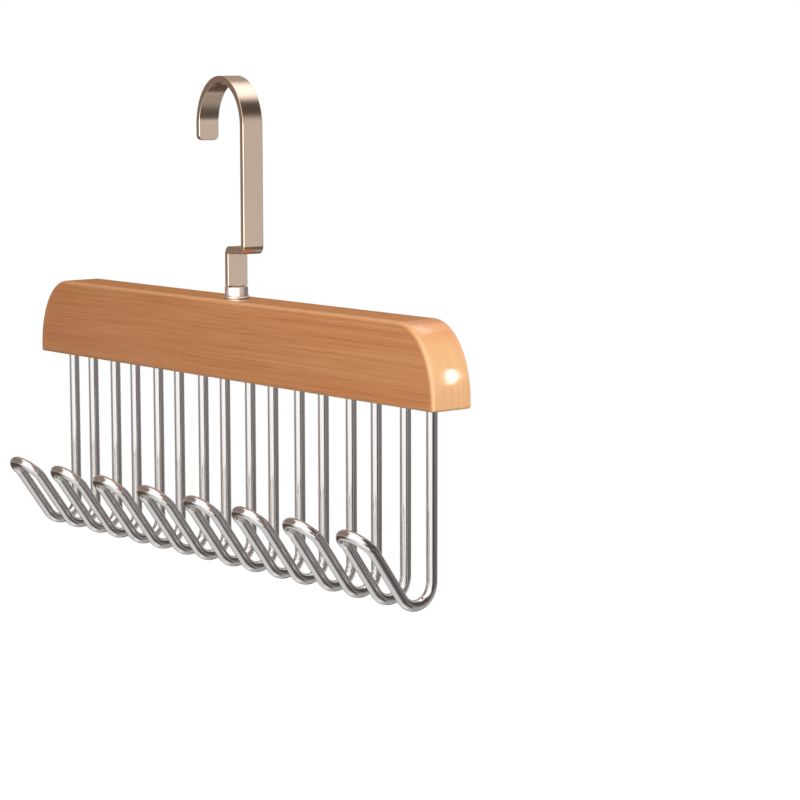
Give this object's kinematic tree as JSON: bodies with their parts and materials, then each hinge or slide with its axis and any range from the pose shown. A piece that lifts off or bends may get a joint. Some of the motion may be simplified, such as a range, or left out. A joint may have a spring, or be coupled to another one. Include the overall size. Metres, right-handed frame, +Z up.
{
  "type": "accessory hanger",
  "caption": "Wooden bar hanger with a row of formed wire hooks below for belts, ties and scarves, and a flat swivel hook above.",
  "frame": {"origin": "the rail seat, the middle of the inner crown of the flat hook, where a rail carries the hanger", "axes": "+Z up, +X along the wooden bar, the wire hooks open towards -Y"},
  "size_m": [0.2975, 0.0518, 0.2205],
  "materials": {
    "light_wood": "light wood with a fine straight grain under a satin lacquer",
    "polished_steel": "bright plated steel",
    "champagne_metal": "warm nickel plating, polished",
    "plain_steel": "plain steel, hidden inside"
  },
  "bodies": {
    "hook": {"hook_strap": "champagne_metal", "swivel_stem": "plain_steel", "stem_washer": "plain_steel"},
    "bar": {"wood_bar": "light_wood", "ferrule": "polished_steel", "wire_hook_1": "polished_steel", "wire_hook_2": "polished_steel", "wire_hook_3": "polished_steel", "wire_hook_4": "polished_steel", "wire_hook_5": "polished_steel", "wire_hook_6": "polished_steel", "wire_hook_7": "polished_steel", "wire_hook_8": "polished_steel"}
  },
  "joints": [
    {"name": "hook_swivel", "type": "hinge", "parent": "hook", "child": "bar", "pos_m": [0.00564, -0.00081, -0.0967], "axis": [0, 0, 1], "continuous": true}
  ]
}
